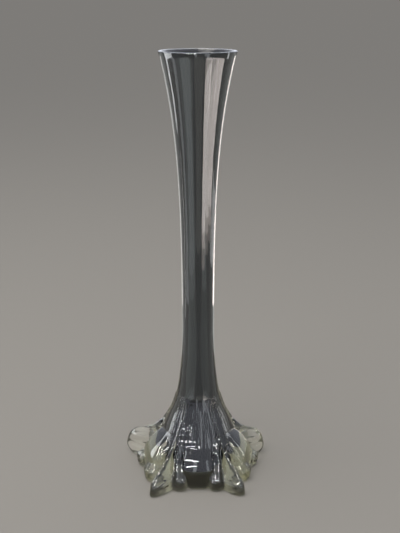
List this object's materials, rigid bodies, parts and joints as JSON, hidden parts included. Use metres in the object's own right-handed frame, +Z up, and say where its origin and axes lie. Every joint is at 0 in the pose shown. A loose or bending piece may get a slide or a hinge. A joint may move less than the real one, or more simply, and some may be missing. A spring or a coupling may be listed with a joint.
{
  "type": "bud vase",
  "caption": "Tall slim trumpet vase of black glass cased in clear glass, on a thick clear ribbed foot with pointed petals, for single stems.",
  "frame": {"origin": "on the vase's axis, in the flat ground base that it stands on", "axes": "+Z up along the vase's axis, -Y towards the front, where a plain panel lies between two petals, +X to the right"},
  "size_m": [0.1399, 0.1353, 0.4],
  "materials": {
    "black_glass": "opaque black blown glass, fire polished inside, fused to the clear casing outside",
    "clear_glass": "clear soda-lime glass, fire polished",
    "foot_glass": "thick clear soda-lime glass with a faint yellow-green body colour, pressed and fire polished, ground flat below"
  },
  "bodies": {
    "root": {"black_liner": "black_glass", "clear_casing": "clear_glass", "petal_foot": "foot_glass"}
  },
  "joints": []
}
